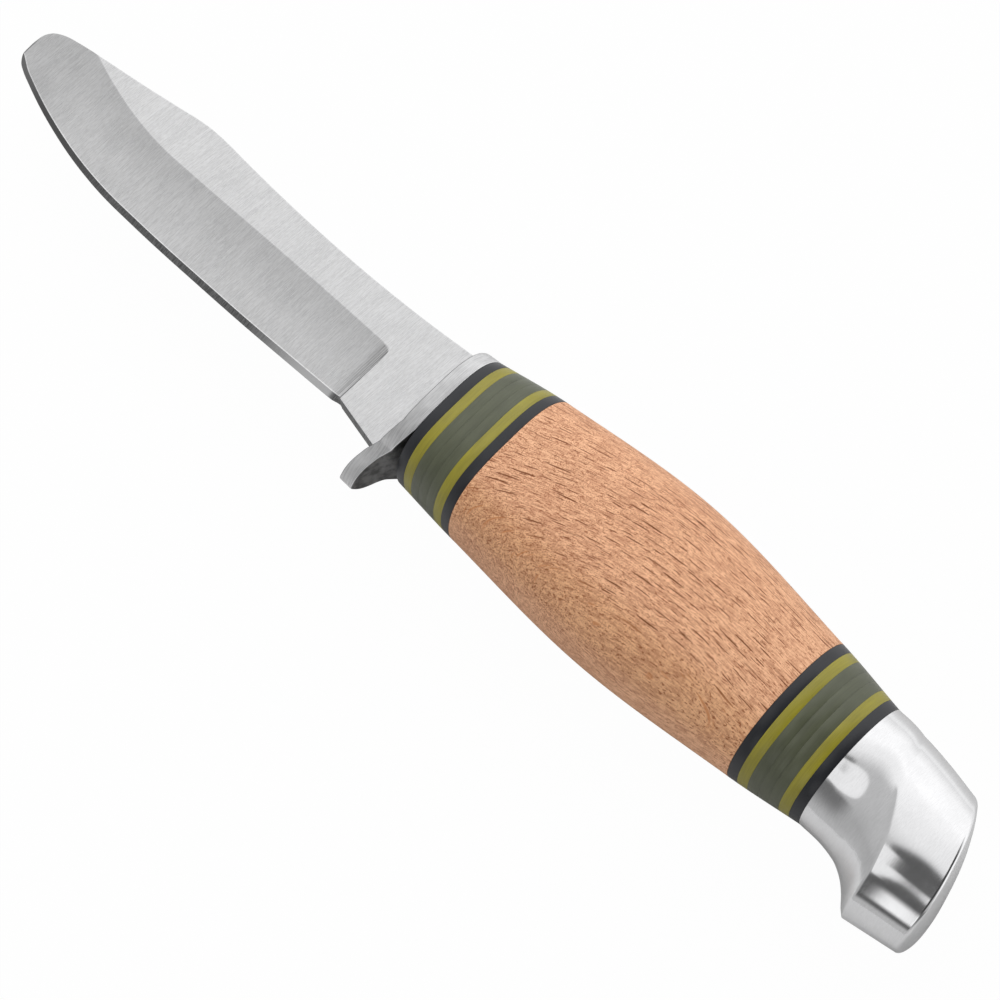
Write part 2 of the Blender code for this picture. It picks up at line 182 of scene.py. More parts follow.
# heights above the end's rearmost part, END_LOW above the beak, against how far its face lies in
END_RECESS = (
    (-5.0, 0.45), (0.0, 0.0), (4.0, 0.29), (8.0, 1.15), (11.0, 1.97),
    (13.0, 2.67), (15.0, 3.54), (17.0, 4.77), (19.5, 6.75),
)
# shares of its length against shares of its droop, and of its neck against shares of the beak's drop
POMMEL_TOP = ((0.0, 0.0), (0.3, 0.06), (0.6, 0.22), (0.8, 0.52), (1.0, 1.0))
POMMEL_FOOT = (
    (0.0, 0.0), (0.3, 0.035), (0.52, 0.135), (0.62, 0.235),
    (0.725, 0.39), (0.83, 0.61), (0.93, 0.865), (1.0, 1.0),
)
# shares of its neck against shares of the way from the seat's width to the neck's, and on to the head's
NECK_NARROWING = ((0.0, 0.0), (0.25, 0.65), (0.5, 1.0))
NECK_FLARING = ((0.75, 0.2), (0.92, 0.55), (1.0, 1.0))
# heights, as shares of the seat's half height, between which the upper width gives way to the neck's
NECK_TOP = 0.35
NECK_BOTTOM = -0.55

# places along the blade between which its painted shade changes
BEVEL_SHADE_AT_TIP = (-66.0, -80.0)
EDGE_SHADE_DEEPENS = (-55.0, -70.0)
EDGE_SHADE_LIFTS = (-74.0, -82.0)
EDGE_ROUNDS_TIP = (-80.0, -82.0)
EDGE_UNSHADED = ((-30.0, -16.0), (-12.0, -13.0))

# beech: the side that shows its rays flat, turned up from the edge's side, and the rise of its grain
RAY_TILT = math.radians(43.0)
RAY_FLAT = (0.0, -math.cos(RAY_TILT), math.sin(RAY_TILT))
GRAIN_RISE = 0.0031
GRAIN_STRAIGHT_AT = 57.0

# fineness of the meshes
RING_POINTS = 160
RUB_STEPS = 3
BLADE_STEPS = 14
PLUNGE_STEPS = 60
HOLLOW_STEPS = 5
QUILLON_STEPS = 8
GUARD_FACE_STEPS = 30
GUARD_RIM_STEPS = 4
GRIP_STATIONS = 72
NECK_STEPS = 60
HEAD_STEPS = 30
END_RIM_STEPS = 6
END_STEPS = 16

# degrees above which a piece's edge shows as sharp
BLADE_SHARP = 4.5
GUARD_SHARP = 40.0
HANDLE_SHARP = 50.0

# camera of the photograph, in the knife's axes: its aim, the way back to it, its upright and its distance
CAMERA_AIM = (14.56, -3.9, 0.0)
CAMERA_BACK = (0.33483, -0.25846, 0.90614)
CAMERA_UP = (-0.60683, 0.67655, 0.41720)
CAMERA_DISTANCE = 347.4
SENSOR_WIDTH = 36.0

# table, with where its mirror image pales behind the knife, and lamps with their places from the knife
TABLE_REACH = 1200.0
TABLE_PALES = (10.0, 110.0)
LAMP_SIZE = 500.0
SOFT_LAMP = (-250.0, 300.0, 460.0)
FILL_LAMP = (0.0, -500.0, 350.0)

# tent's wall: shares of the half turn from the spine's side over the top to the edge's against its level
TENT_WALL = (
    (0.0, 0.84), (0.05, 0.94), (0.12, 1.08), (0.27, 1.12), (0.33, 1.0), (0.40, 0.92), (0.44, 0.76),
    (0.48, 0.54), (0.53, 0.52), (0.62, 0.5), (0.70, 0.46), (0.76, 0.42), (0.9, 0.44), (1.0, 0.5),
)

BLADE_LOW, BLADE_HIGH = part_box("blade")
KNIFE_ORIGIN = Vector((
    BLADE_LOW.x + BLADE_LENGTH * MM,
    BLADE_LOW.y - RICASSO_FOOT[1] * BLADE_HEIGHT * MM,
    (BLADE_LOW.z + BLADE_HIGH.z) / 2,
))


def colour_prop(name, text, default):
    return FloatVectorProperty(
        name=name, description=text, default=default, size=3, min=0.0, max=1.0, subtype="COLOR"
    )


def length_prop(name, text, default):
    return FloatProperty(
        name=name, description=text, default=default * MM, min=0.0, unit="LENGTH", precision=5
    )


def power_prop(name, text, default):
    return FloatProperty(name=name, description=text, default=default, min=0.0, unit="POWER")


def share_prop(name, text, default):
    return FloatProperty(name=name, description=text, default=default, min=0.0, max=1.0, subtype="FACTOR")


class KnifeSizes(PropertyGroup):
    """Sizes of the knife's finish"""

    grind_width: length_prop("Grind width", "Width of the flat bevel, from edge to grind line", 10.5)
    edge_width: length_prop("Edge width", "Width of the sharpening bevel along the belly", 0.85)
    edge_width_tip: length_prop("Edge width at tip", "Width of the sharpening bevel at the tip", 0.68)
    spine_rounding: length_prop("Spine rounding", "Radius of the rubbed edges of spine and ricasso", 0.1)
    disc_rounding: length_prop("Disc rounding", "Radius of the rubbed edges of discs and grip", 0.02)


class KnifeColours(PropertyGroup):
    """Colours of the knife's materials, as linear values"""

    steel: colour_prop("Steel", "Satin blade steel", (0.78, 0.78, 0.785))
    guard: colour_prop("Guard", "Brushed aluminium of the guard", (0.76, 0.76, 0.765))
    pommel: colour_prop("Pommel", "Polished aluminium of the pommel", (0.88, 0.88, 0.89))
    beech_pale: colour_prop("Beech, pale", "Early wood", (0.8, 0.452, 0.264))
    beech_deep: colour_prop("Beech, deep", "Late wood", (0.5, 0.24, 0.13))
    fleck: colour_prop("Fleck", "Rays cut across", (0.15, 0.035, 0.004))
    fleck_flat: colour_prop("Broad fleck", "Rays cut along", (0.52, 0.21, 0.08))
    black: colour_prop("Black fibre", "Black discs", (0.008, 0.009, 0.012))
    yellow: colour_prop("Yellow fibre", "Yellow discs", (0.227, 0.198, 0.013))
    green: colour_prop("Green fibre", "Green discs", (0.065, 0.071, 0.041))


class KnifeStage(PropertyGroup):
    """Light, table and lens"""

    floor: colour_prop("Table", "Colour of the table top", (0.55, 0.55, 0.55))
    lens: FloatProperty(
        name="Lens", description="Focal length of the camera", default=97.36, min=1.0, unit="CAMERA"
    )
    tent: FloatProperty(name="Tent", description="Strength of the light tent", default=1.0, min=0.0)
    lamp: power_prop("Lamp", "Power of the soft lamp over the spine", 2.7)
    fill: power_prop("Fill", "Power of the soft lamp on the near side", 1.0)
    seen_white: share_prop("Seen white", "Share of white that the camera sees in the table", 0.98)
    mirrored_white: share_prop("Mirrored white", "Share of white in the table that metal mirrors", 0.04)
    white_behind: share_prop("White behind", "What that share gains behind the knife", 0.74)


def smooth_value(stations, at):
    """Value at a place on a smooth curve through (place, value) stations."""
    places = [s[0] for s in stations]
    values = [s[1] for s in stations]
    at = min(max(at, places[0]), places[-1])
    i = 0
    while i < len(places) - 2 and at > places[i + 1]:
        i += 1

    def tangent(k):
        low = max(k - 1, 0)
        high = min(k + 1, len(places) - 1)
        return (values[high] - values[low]) / (places[high] - places[low])

    span = places[i + 1] - places[i]
    u = (at - places[i]) / span
    start = (1 + 2 * u) * values[i] + u * span * tangent(i)
    end = (3 - 2 * u) * values[i + 1] + (u - 1) * span * tangent(i + 1)
    return start * (1 - u) ** 2 + end * u * u


def smooth_path(knots, steps):
    """Points on a smooth plane curve through the knots, whatever their spacing."""
    ends = [knots[0] * 2 - knots[1]] + list(knots) + [knots[-1] * 2 - knots[-2]]

    def heading(before, at, after):
        arrive = (at - before).length
        leave = (after - at).length
        return ((at - before) * (leave / arrive) + (after - at) * (arrive / leave)) / (arrive + leave)

    points = []
    for p0, p1, p2, p3 in zip(ends, ends[1:], ends[2:], ends[3:]):
        span = (p2 - p1).length
        for k in range(steps):
            u = k / steps
            start = p1 * (1 + 2 * u) + heading(p0, p1, p2) * (span * u)
            end = p2 * (3 - 2 * u) + heading(p1, p2, p3) * (span * (u - 1))
            points.append(start * (1 - u) ** 2 + end * u ** 2)
    points.append(knots[-1].copy())
    return points


def smoothstep(low, high, value):
    u = min(max((value - low) / (high - low), 0.0), 1.0)
    return u * u * (3 - 2 * u)


def evenly(count):
    """Count + 1 shares from 0 to 1."""
    return [k / count for k in range(count + 1)]


def to_mesh(name, bm):
    mesh = bpy.data.meshes.new(name)
    bm.to_mesh(mesh)
    bm.free()
    return mesh


def add_object(name, data):
    """Adds an object to the scene."""
    made = bpy.data.objects.new(name, data)
    bpy.context.scene.collection.objects.link(made)
    return made


def make_piece(name, bm, material):
    """Makes a piece of a mesh in the knife's axes."""
    bmesh.ops.recalc_face_normals(bm, faces=bm.faces)
    mesh = to_mesh(name, bm)
    mesh.materials.append(material)
    piece = add_object(name, mesh)
    piece.location = KNIFE_ORIGIN
    return piece


def stand_for(piece, node, sharp_angle):
    """The piece takes the place of a CAD node. Its faces are smooth, and its edges sharp above an angle."""
    piece.data.shade_smooth()
    piece.data.set_sharp_from_angle(angle=math.radians(sharp_angle))
    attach(piece, BODY)
    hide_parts(node)


def along_knife(node):
    """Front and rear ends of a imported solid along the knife, in millimetres."""
    low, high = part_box(node)
    return (low.x - KNIFE_ORIGIN.x) / MM, (high.x - KNIFE_ORIGIN.x) / MM


def skin(rings, looped=False, bridged=()):
    """Mesh over rings of equally many points, in millimetres.

    A looped skin joins its last ring to its first. Otherwise bridged names the ends, 0 or -1, whose left and
    right halves are joined across.
    """
    bm = bmesh.new()
    rows = [[bm.verts.new(Vector(p) * MM) for p in ring] for ring in rings]
    count = len(rows[0])
    half = count // 2
    follows = rows[1:] + rows[:1] if looped else rows[1:]
    for row, after in zip(rows, follows):
        for i in range(count):
            j = (i + 1) % count
            bm.faces.new((row[i], row[j], after[j], after[i]))
    for end in bridged:
        row = rows[end]
        bm.faces.new((row[0], row[1], row[-1]))
        for i in range(1, half - 1):
            bm.faces.new((row[i], row[i + 1], row[count - i - 1], row[count - i]))
        bm.faces.new((row[half - 1], row[half], row[half + 1]))
    return bm


def handle_section(x):
    """Half height, centre, half width and side flatness of the ground handle at x."""
    places = (HANDLE_START, GRIP_START, (GRIP_START + GRIP_END) / 2, GRIP_END, SEAT)
    half = smooth_value(tuple(zip(places, HALF_HEIGHTS)), x)
    centre = smooth_value(tuple(zip(places, CENTRES)), x)
    share = min(max((x - HANDLE_START) / (SEAT - HANDLE_START), 0.0), 1.0)
    flatness = FRONT_FLATNESS + (SEAT_FLATNESS - FRONT_FLATNESS) * share
    return half, centre, half * WIDTH_RATIO, flatness


def oval(half, centre, half_width, flatness):
    """Ring of (y, z) with flattened sides. It starts at the top and goes round by the left side."""
    ring = []
    for i in range(RING_POINTS):
        angle = 2 * math.pi * i / RING_POINTS
        c = math.cos(angle)
        y = centre + half * math.copysign(abs(c) ** (2 / flatness), c)
        ring.append((y, half_width * math.sin(angle)))
    return ring


def handle_ring(x, inset):
    half, centre, half_width, flatness = handle_section(x)
    return [(x, y, z) for y, z in oval(half - inset, centre, half_width - inset, flatness)]


def slot_ring(x, outer, play=TANG_PLAY):
    """Ring on the wall of the tang's slot, with a point inwards of each point of an outer ring."""
    share = (x - TANG_START) / (SEAT + TANG_IN_POMMEL - TANG_START)
    half_height = (TANG_HEIGHT + (TANG_END_HEIGHT - TANG_HEIGHT) * share) / 2 + play
    half_width = BLADE_STOCK / 2 + play
    ring = []
    for point in outer:
        y, z = point[-2:]
        reach = min(half_height / max(abs(y), TINY), half_width / max(abs(z), TINY))
        ring.append((x, y * reach, z * reach))
    return ring


def inset_ring(ring, distance):
    """A counterclockwise plane ring moved inwards by a distance."""
    moved = []
    for i, (u, v) in enumerate(ring):
        before = ring[i - 1]
        after = ring[(i + 1) % len(ring)]
        along = Vector((after[0] - before[0], after[1] - before[1])).normalized()
        moved.append((u - along.y * distance, v + along.x * distance))
    return moved


def rounding_steps(radius, steps):
    """(depth, inset) pairs of a quarter round, from the face to the side."""
    pairs = []
    for share in evenly(steps):
        angle = 0.5 * math.pi * share
        pairs.append((radius * (1 - math.sin(angle)), radius * (1 - math.cos(angle))))
    return pairs[::-1]


def rubbed_layers(start, end, rounding):
    """(place, inset) pairs from one face of a piece to the other, with both its rims rubbed round."""
    pairs = rounding_steps(rounding, RUB_STEPS)
    layers = [(start + depth, inset) for depth, inset in pairs]
    return layers + [(end - depth, inset) for depth, inset in reversed(pairs)]


def blade_point(share):
    return Vector((-share[0] * BLADE_LENGTH, share[1] * BLADE_HEIGHT))


def blade_rings(rounding):
    """Rings of a plate cut to the outline, tang included, with its edges rubbed round."""
    outline = smooth_path([blade_point(p) for p in SPINE + TIP + BELLY_EDGE + HEEL], BLADE_STEPS)
    tang_end = SEAT + TANG_IN_POMMEL
    outline += [
        blade_point(RICASSO_FOOT),
        Vector((0.0, -TANG_HEIGHT / 2)),
        Vector((tang_end, -TANG_END_HEIGHT / 2)),
        Vector((tang_end, TANG_END_HEIGHT / 2)),
        Vector((0.0, TANG_HEIGHT / 2)),
    ]
    outline = [Vector((max(p.x, -BLADE_LENGTH), p.y)) for p in outline]
    layers = rubbed_layers(-BLADE_STOCK / 2, BLADE_STOCK / 2, rounding)
    return [[(x, y, z) for x, y in inset_ring(outline, inset)] for z, inset in layers]


def edge_path():
    """Points along the cutting edge from the plunge to past the tip, each with its inward normal."""
    heel = Vector((-PLUNGE_FRACTION * BLADE_LENGTH, BELLY_EDGE[-1][1] * BLADE_HEIGHT))
    start = heel - Vector((PLUNGE_RUN, 0.0))
    turns = [0.5 * math.pi * share for share in evenly(PLUNGE_STEPS)[:-1]]
    points = [heel - Vector((PLUNGE_RUN * (1.0 - math.cos(turn)), 0.0)) for turn in turns]
    knots = TIP[-EDGE_ON_TIP:] + BELLY_EDGE[:-POINTS_IN_PLUNGE]
    points += smooth_path([start] + [blade_point(p) for p in reversed(knots)], BLADE_STEPS)
    points.append(points[-1] + (points[-1] - points[-2]).normalized() * BLADE_HEIGHT)
    belly_end = blade_point(BELLY_EDGE[0]).x
    path = []
    for i, point in enumerate(points):
        along = (points[min(i + 1, len(points) - 1)] - points[max(i - 1, 0)]).normalized()
        inward = Vector((along.y, -along.x)) if point.x > belly_end else path[-1][1]
        path.append((point, inward))
    return path, heel.x


def grind_rings(sizes):
    """Rings of the wedge that grinds one side: bevel and sharpening bevel, fading out at the plunge."""
    path, plunge = edge_path()
    grind_width = sizes.grind_width / MM
    edge_width = sizes.edge_width / MM
    edge_width_tip = sizes.edge_width_tip / MM
    half_stock = BLADE_STOCK / 2
    slope = (half_stock - EDGE_SHOULDER / 2) / (grind_width - edge_width)
    clear_of_stock = BLADE_STOCK
    below_edge = 0.1
    above_grind = 0.5
    rings = []
    for point, inward in path:
        run = min(max((plunge - point.x) / PLUNGE_RUN, 0.0), 1.0)
        depth = math.sqrt(1.0 - (1.0 - run) ** 2)
        tipward = smoothstep(*EDGE_NARROWS, -point.x)
        edge = edge_width + (edge_width_tip - edge_width) * tipward
        width = grind_width * smooth_value(GRIND_WIDTHS, -point.x / BLADE_LENGTH)
        width *= 1.0 - HEEL_NARROWING * (1.0 - depth)
        shoulder = half_stock - (half_stock - EDGE_SHOULDER / 2 + slope * (edge_width - edge)) * depth
        foot = shoulder - (edge + below_edge) * math.tan(EDGE_ANGLE) * depth
        corners = [(-below_edge, foot), (edge, shoulder)]
        low = (edge + BURNISH_WIDTH, shoulder - BURNISH_WIDTH * BURNISH_SLOPE * depth)
        for share in evenly(HOLLOW_STEPS):
            hollow = GRIND_HOLLOW * 4 * share * (1 - share) * depth
            d = low[0] + (width - low[0]) * share
            corners.append((d, low[1] + (half_stock - low[1]) * share - hollow))
        climb = (half_stock - low[1] + GRIND_HOLLOW * 4) / (width - low[0])
        corners.append((width + above_grind, half_stock + above_grind * climb))
        corners += [(width + above_grind, clear_of_stock), (-below_edge, clear_of_stock)]
        places = [(point + inward * d, z) for d, z in corners]
        rings.append([(at.x, at.y, z) for at, z in places])
    return rings


def cut(piece, bm):
    """Takes a closed mesh, in the piece's axes, out of the piece."""
    bmesh.ops.recalc_face_normals(bm, faces=bm.faces)
    cutter = add_object("cutter", to_mesh("cutter", bm))
    cutter.location = piece.location
    mod = piece.modifiers.new("cut", "BOOLEAN")
    mod.operation = "DIFFERENCE"
    mod.solver = "EXACT"
    mod.object = cutter
    bpy.context.view_layer.update()
    graph = bpy.context.evaluated_depsgraph_get()
    shaped = bpy.data.meshes.new_from_object(piece.evaluated_get(graph))
    if not shaped.polygons:
        raise RuntimeError(f"cutting {piece.name} left nothing")
    piece.modifiers.remove(mod)
    bpy.data.objects.remove(cutter, do_unlink=True)
    piece.data = shaped


def capped(bm):
    """Fills the open ends of a skin."""
    bmesh.ops.holes_fill(bm, edges=[e for e in bm.edges if e.is_boundary])
    return bm


def guard_outline():
    """Ring of (y, z) round the oval plate and the tongue of the quillon, from the top by the left side."""
    half, centre, half_width, flatness = handle_section(HANDLE_START)
    root = QUILLON_HALF_WIDTH + QUILLON_FILLET
    plate = oval(half, centre, half_width, flatness)[: RING_POINTS // 2]
    side = [Vector(p) for p in plate if p[0] > centre or p[1] > root]
    tongue = [side[-1]]
    for drop, share in QUILLON_NARROWING:
        tongue.append(Vector((HANDLE_BOTTOM - drop * QUILLON_DROP, share * QUILLON_HALF_WIDTH)))
    across = tongue + [Vector((p.x, -p.y)) for p in reversed(tongue[:-1])]
    side += smooth_path(across, QUILLON_STEPS)[1 : QUILLON_STEPS * (len(tongue) - 1) + 1]
    return [(p.x, p.y) for p in side] + [(p.x, -p.y) for p in reversed(side[1:-1])]


def guard_place(y, depth):
    """Place along the knife at a height on the guard and a depth behind its front face."""
    gap = GLUE_LINE / 2
    sweep = QUILLON_SWEEP * smooth_value(QUILLON_BEND, (HANDLE_BOTTOM - y) / QUILLON_DROP)
    return gap + (GUARD_THICKNESS - 2 * gap) * depth / GUARD_THICKNESS - sweep


def guard_rings():
    """Rings round the guard: out over its front face, round its rim and in over its rear face."""
    outline = guard_outline()
    front = rounding_steps(GUARD_FRONT_ROUNDING, GUARD_RIM_STEPS)
    rear = rounding_steps(GUARD_REAR_ROUNDING, GUARD_RIM_STEPS)
    layers = [(depth, GUARD_TAPER + inset) for depth, inset in front]
    layers += [(GUARD_THICKNESS - depth, inset) for depth, inset in reversed(rear)]
    rims = [inset_ring(outline, inset) for depth, inset in layers]
    slot = [(y, z) for x, y, z in slot_ring(0.0, outline, GUARD_PLAY)]
    rings = []

    def face(rim, depth, shares):
        for share in shares:
            ring = []
            for (y0, z0), (y1, z1) in zip(slot, rim):
                y = y0 + (y1 - y0) * share
                ring.append((guard_place(y, depth), y, z0 + (z1 - z0) * share))
            rings.append(ring)

    across = evenly(GUARD_FACE_STEPS)[:-1]
    face(rims[0], layers[0][0], across)
    for rim, (depth, inset) in zip(rims, layers):
        rings.append([(guard_place(y, depth), y, z) for y, z in rim])
    face(rims[-1], layers[-1][0], reversed(across))
    return rings


def ricasso_pocket():
    """Room in the guard for the foot of the ricasso."""
    side = BLADE_STOCK / 2 + RICASSO_PLAY
    clear_of_guard = 3.0
    low = (-QUILLON_SWEEP - clear_of_guard, RICASSO_FOOT[1] * BLADE_HEIGHT - RICASSO_PLAY, -side)
    high = (GLUE_LINE / 4, BLADE_HEIGHT, side)
    bm = bmesh.new()
    bmesh.ops.create_cube(bm, size=1.0)
    for vert in bm.verts:
        for k in range(3):
            vert.co[k] = (low[k] if vert.co[k] < 0 else high[k]) * MM
    return bm


def sleeve_rings(start, end, rounding, stations=1):
    """Rings of a disc or the grip: its outside, sanded between its rims, then the tang's slot."""
    layers = rubbed_layers(start, end, rounding)
    sanded = [(start + (end - start) * share, SANDING) for share in evenly(stations)[1:-1]]
    middle = len(layers) // 2
    outer = [handle_ring(x, inset) for x, inset in layers[:middle] + sanded + layers[middle:]]
    return outer + [slot_ring(end, outer[-1]), slot_ring(start, outer[0])]


def pommel_end(y):
    """Place of the pommel's end face behind its seat at height y."""
    half, centre = handle_section(SEAT)[:2]
    beak = centre - half - BEAK_DROP
    return POMMEL_LENGTH - END_DOME - smooth_value(END_RECESS, y - beak - END_LOW)


def neck_widths(seat_width):
    """(share of the neck, half width) stations of the pommel's neck below its shoulders."""
    narrowing = NECK_HALF_WIDTH - seat_width
    flaring = HEAD_HALF_WIDTH - NECK_HALF_WIDTH
    stations = [(place, seat_width + narrowing * share) for place, share in NECK_NARROWING]
    return stations + [(place, NECK_HALF_WIDTH + flaring * share) for place, share in NECK_FLARING]


def pommel_ring(share):
    """Section of the pommel: 0 is the seat on the handle, RIDGE_AT the front rim of the head, 1 the end."""
    half, centre, half_width, flatness = handle_section(SEAT)
    seat_foot = centre - half
    beak = seat_foot - BEAK_DROP
    top = centre + half - POMMEL_DROOP * smooth_value(POMMEL_TOP, share)
    upper = smooth_value(((0.0, half_width), (RIDGE_AT, HEAD_HALF_WIDTH), (1.0, END_HALF_WIDTH)), share)
    neck = share / RIDGE_AT
    if neck < 1.0:
        foot = seat_foot - BEAK_DROP * smooth_value(POMMEL_FOOT, neck)
        waist = smooth_value(neck_widths(half_width), neck)
    else:
        foot = beak + BEAK_RISE * (share - RIDGE_AT) / (1.0 - RIDGE_AT)
        waist = upper
    shape = flatness + (HEAD_FLATNESS - flatness) * smoothstep(HEAD_FLATTENS_AT, RIDGE_AT, share)
    ring = []
    for y, z in oval((top - foot) / 2, (top + foot) / 2, 1.0, shape):
        width = upper + (waist - upper) * smoothstep(NECK_TOP * half, NECK_BOTTOM * half, y)
        lift = min(max(y - beak, 0.0), RIDGE_REACH * half)
        lean = RIDGE_LEAN * lift ** 2 * min(neck, (1.0 - share) / (1.0 - RIDGE_AT))
        ring.append((SEAT + GLUE_LINE / 2 + share * pommel_end(y) - lean, y, z * width))
    return ring


def pommel_rings():
    """Rings from the bottom of the tang's slot out to the seat, along the pommel and in over its end."""
    seat = SEAT + GLUE_LINE / 2
    rim_share = 1.0 - END_ROUNDING / POMMEL_LENGTH
    shares = [RIDGE_AT * s for s in evenly(NECK_STEPS)]
    shares += [RIDGE_AT + (rim_share - RIDGE_AT) * s for s in evenly(HEAD_STEPS)[1:]]
    outer = [pommel_ring(s) for s in shares]
    bottom = seat + TANG_IN_POMMEL + TANG_PLAY
    rings = [slot_ring(bottom, outer[0]), slot_ring(seat, outer[0])] + outer
    rim = outer[-1]
    middle = sum(p[1] for p in rim) / len(rim)
    half_end = (rim[0][1] - rim[RING_POINTS // 2][1]) / 2
    turns = [0.5 * math.pi * s for s in evenly(END_RIM_STEPS)[1:]]
    insets = [(END_ROUNDING * (1 - math.cos(t)), 1 - math.sin(t)) for t in turns]
    inwards = END_COVERED * half_end - END_ROUNDING
    insets += [(END_ROUNDING + inwards * s, 0.0) for s in evenly(END_STEPS)[1:]]
    for inset, short in insets:
        scale = 1.0 - inset / half_end
        ring = []
        for x, y, z in rim:
            near = middle + (y - middle) * scale
            face = seat + pommel_end(near) + END_RISE * (1 - scale ** 2)
            ring.append((face + (x - face) * short, near, z * scale))
        rings.append(ring)
    return rings


class Wire:
    """A shader socket that takes part in sums: each sum on wires adds its node to the tree."""

    def __init__(self, tree, socket=None):
        self.tree = tree
        self.socket = socket

    def node(self, kind, settings=None, sockets=None, output=0):
        """Adds a node: its settings first, then the values or wires of its sockets. Gives one output."""
        made = self.tree.nodes.new(kind)
        for key, value in (settings or {}).items():
            if key == "stops":
                fill_ramp(made.color_ramp, value)
            else:
                setattr(made, key, value)
        for key, value in (sockets or {}).items():
            if isinstance(value, Wire):
                self.tree.links.new(value.socket, made.inputs[key])
            else:
                made.inputs[key].default_value = value
        return Wire(self.tree, made.outputs[output])

    def math(self, operation, *values):
        return self.node("ShaderNodeMath", {"operation": operation}, dict(enumerate(values)))

    def __add__(self, other):
        return self.math("ADD", self, other)

    __radd__ = __add__

    def __sub__(self, other):
        return self.math("SUBTRACT", self, other)

    def __rsub__(self, other):
        return self.math("SUBTRACT", other, self)

    def __mul__(self, other):
        return self.math("MULTIPLY", self, other)

    __rmul__ = __mul__

    def __truediv__(self, other):
        return self.math("DIVIDE", self, other)

    def __abs__(self):
        return self.math("ABSOLUTE", self)

    def at_least(self, other):
        return self.math("MAXIMUM", self, other)

    def within(self, low, high):
        """0 below low, 1 above high and smooth between them. Low may be the larger one."""
        settings = {"interpolation_type": "SMOOTHSTEP", "clamp": True}
        return self.node("ShaderNodeMapRange", settings, {"Value": self, "From Min": low, "From Max": high})

    def band(self, rise, fall):
        """1 between two soft borders: pairs of values over which it rises and falls."""
        return self.within(*rise) * self.within(*fall)

    def blend(self, none, full):
        """Colour between two colours or colour wires, by this factor."""
        settings = {"data_type": "RGBA", "clamp_factor": True}
        return self.node("ShaderNodeMix", settings, {0: self, 6: rgba(none), 7: rgba(full)}, 2)

    def vector(self, operation, other):
        return self.node("ShaderNodeVectorMath", {"operation": operation}, {0: self, 1: other})

    def split(self):
        parts = self.node("ShaderNodeSeparateXYZ", None, {0: self}).socket.node
        return [Wire(self.tree, socket) for socket in parts.outputs]

    def join(self, x, y, z):
        return self.node("ShaderNodeCombineXYZ", None, {0: x, 1: y, 2: z})

    def noise(self, size, detail=2.0, roughness=0.5):
        """Noise from 0 to 1 at this place, with a grain size for each axis."""
        place = self.vector("DIVIDE", size)
        sockets = {"Vector": place, "Scale": 1.0, "Detail": detail, "Roughness": roughness}
        return self.node("ShaderNodeTexNoise", None, sockets)


def rgba(value):
    if isinstance(value, Wire):
        return value
    return (*value, 1.0)


def fill_ramp(ramp, stops):
    while len(ramp.elements) > 1:
        ramp.elements.remove(ramp.elements[-1])
    ramp.elements[0].position = stops[0][0]
    ramp.elements[0].color = stops[0][1]
    for place, colour in stops[1:]:
        ramp.elements.new(place).color = colour


class Finish:
    """A material, the place on its piece in millimetres, and its shader's sockets."""

    def __init__(self, name, **constants):
        self.material = bpy.data.materials.new(name)
        self.material.use_nodes = True
        tree = self.material.node_tree
        self.tree = tree
        self.shader = tree.nodes["Principled BSDF"]
        for key, value in constants.items():
            self.shader.inputs[key.replace("_", " ").title().replace("Ior", "IOR")].default_value = value
        self.wire = Wire(tree)
        self.place = self.wire.node("ShaderNodeTexCoord", output="Object").vector("DIVIDE", (MM, MM, MM))

    def facing(self):
        """Parts of the surface's direction along the piece's axes."""
        return self.wire.node("ShaderNodeTexCoord", output="Normal").split()

    def feed(self, socket, wire):
        self.tree.links.new(wire.socket, self.shader.inputs[socket])

    def relief(self, height, depth):
        """Bump from a height of 0 to 1 that stands for a depth in millimetres."""
        sockets = {"Height": height, "Distance": depth * MM, "Strength": 1.0}
        self.feed("Normal", self.wire.node("ShaderNodeBump", None, sockets))


def grey(level):
    return (level, level, level)


def tinted(colour, factor):
    return tuple(min(c * factor, 1.0) for c in colour)


def satin_steel(steel):
    """Steel ground by a belt, with fine lines across the blade."""
    finish = Finish("satin_steel", metallic=1.0)
    x, y, z = finish.place.split()
    lean = 0.07
    across = x.join(x - lean * y, y, z)
    fine = across.noise((0.08, 3.5, 3.5), 1.0, 0.6)
    grit = across.noise((0.13, 0.7, 0.7), 1.0)
    cloudy = finish.place.noise((5.0, 4.0, 4.0), 3.0)
    lines = 0.6 * fine + 0.4 * grit
    tone = (0.85 * lines + 0.15 * cloudy).within(0.34, 0.66)
    colour = tone.blend(tinted(steel, 0.87), tinted(steel, 1.12))
    colour = bevel_steel(steel, colour, across, (x, y, z))
    finish.feed("Base Color", edge_steel(finish, steel, colour, x))
    finish.feed("Roughness", 0.21 + 0.12 * fine + 0.06 * cloudy)
    finish.relief(lines, 0.002)
    return finish.material


